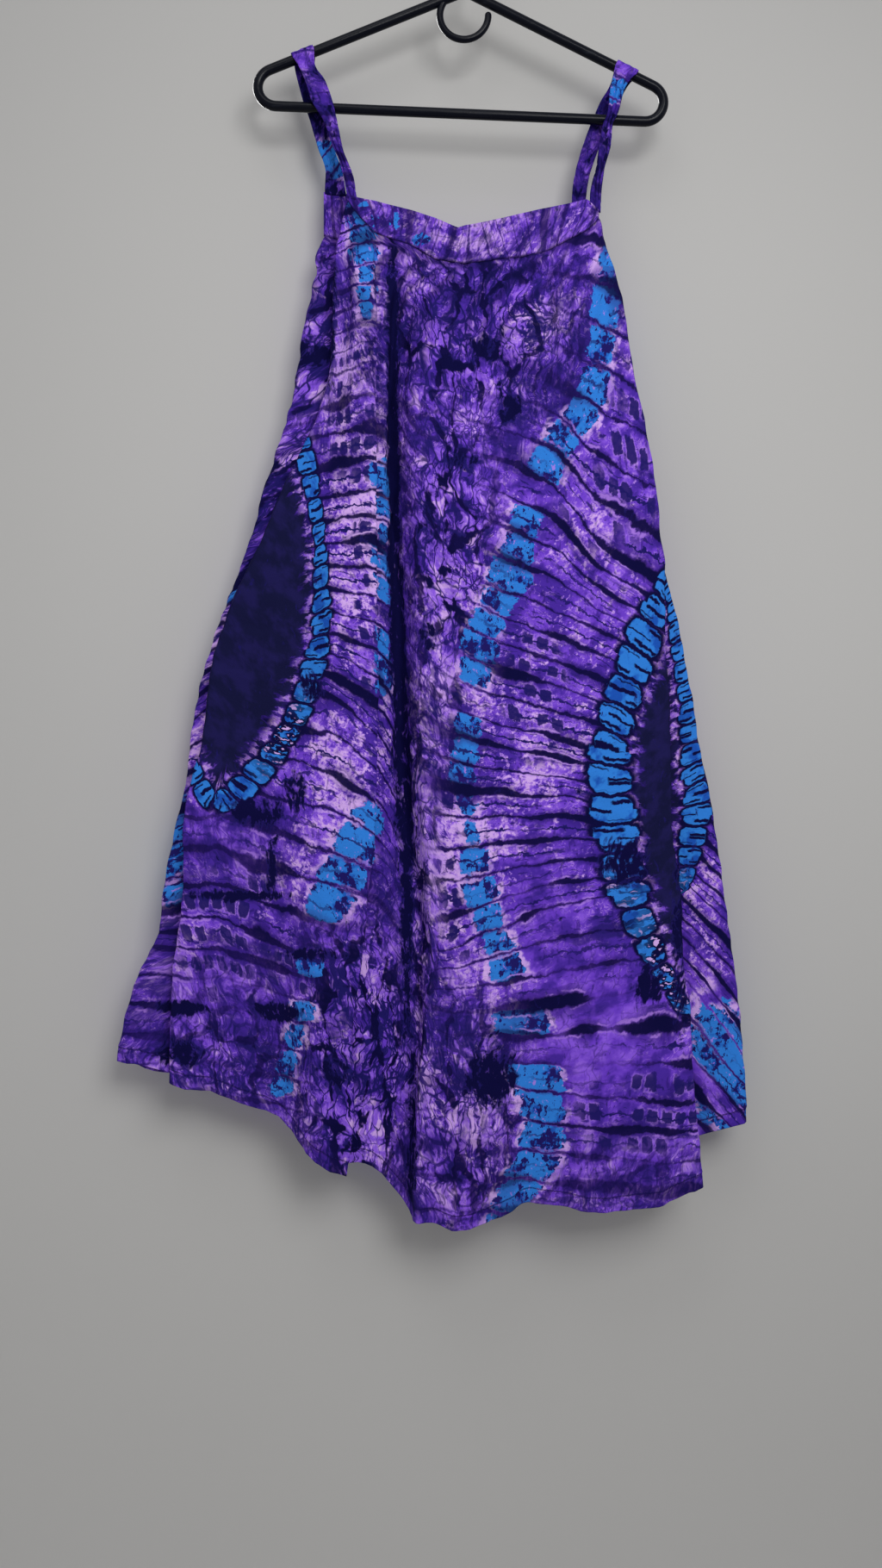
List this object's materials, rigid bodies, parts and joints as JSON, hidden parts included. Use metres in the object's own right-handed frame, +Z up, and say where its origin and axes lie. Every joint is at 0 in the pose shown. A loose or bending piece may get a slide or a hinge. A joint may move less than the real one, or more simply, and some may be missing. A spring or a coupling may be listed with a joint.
{
  "type": "sundress on a hanger",
  "caption": "Long gathered sundress with a shallow V band and shoulder straps, hanging by the straps from a tubular hanger.",
  "frame": {"origin": "inside top of the hanger's hook, where a rod or nail holds it", "axes": "+Z up, +X to the right seen from the front, +Y towards the back"},
  "size_m": [0.6303, 0.0881, 1.3269],
  "materials": {
    "skirt_cotton": "tie-dyed plain-weave cotton, matt",
    "band_cotton": "tie-dyed plain-weave cotton, matt",
    "strap_cotton": "tie-dyed plain-weave cotton, matt",
    "hanger_plastic": "moulded, glossy"
  },
  "bodies": {
    "root": {"front_skirt": "skirt_cotton", "back_skirt": "skirt_cotton", "front_band": "band_cotton", "back_band": "band_cotton", "strap_left": "strap_cotton", "strap_right": "strap_cotton", "hanger": "hanger_plastic"}
  },
  "joints": []
}
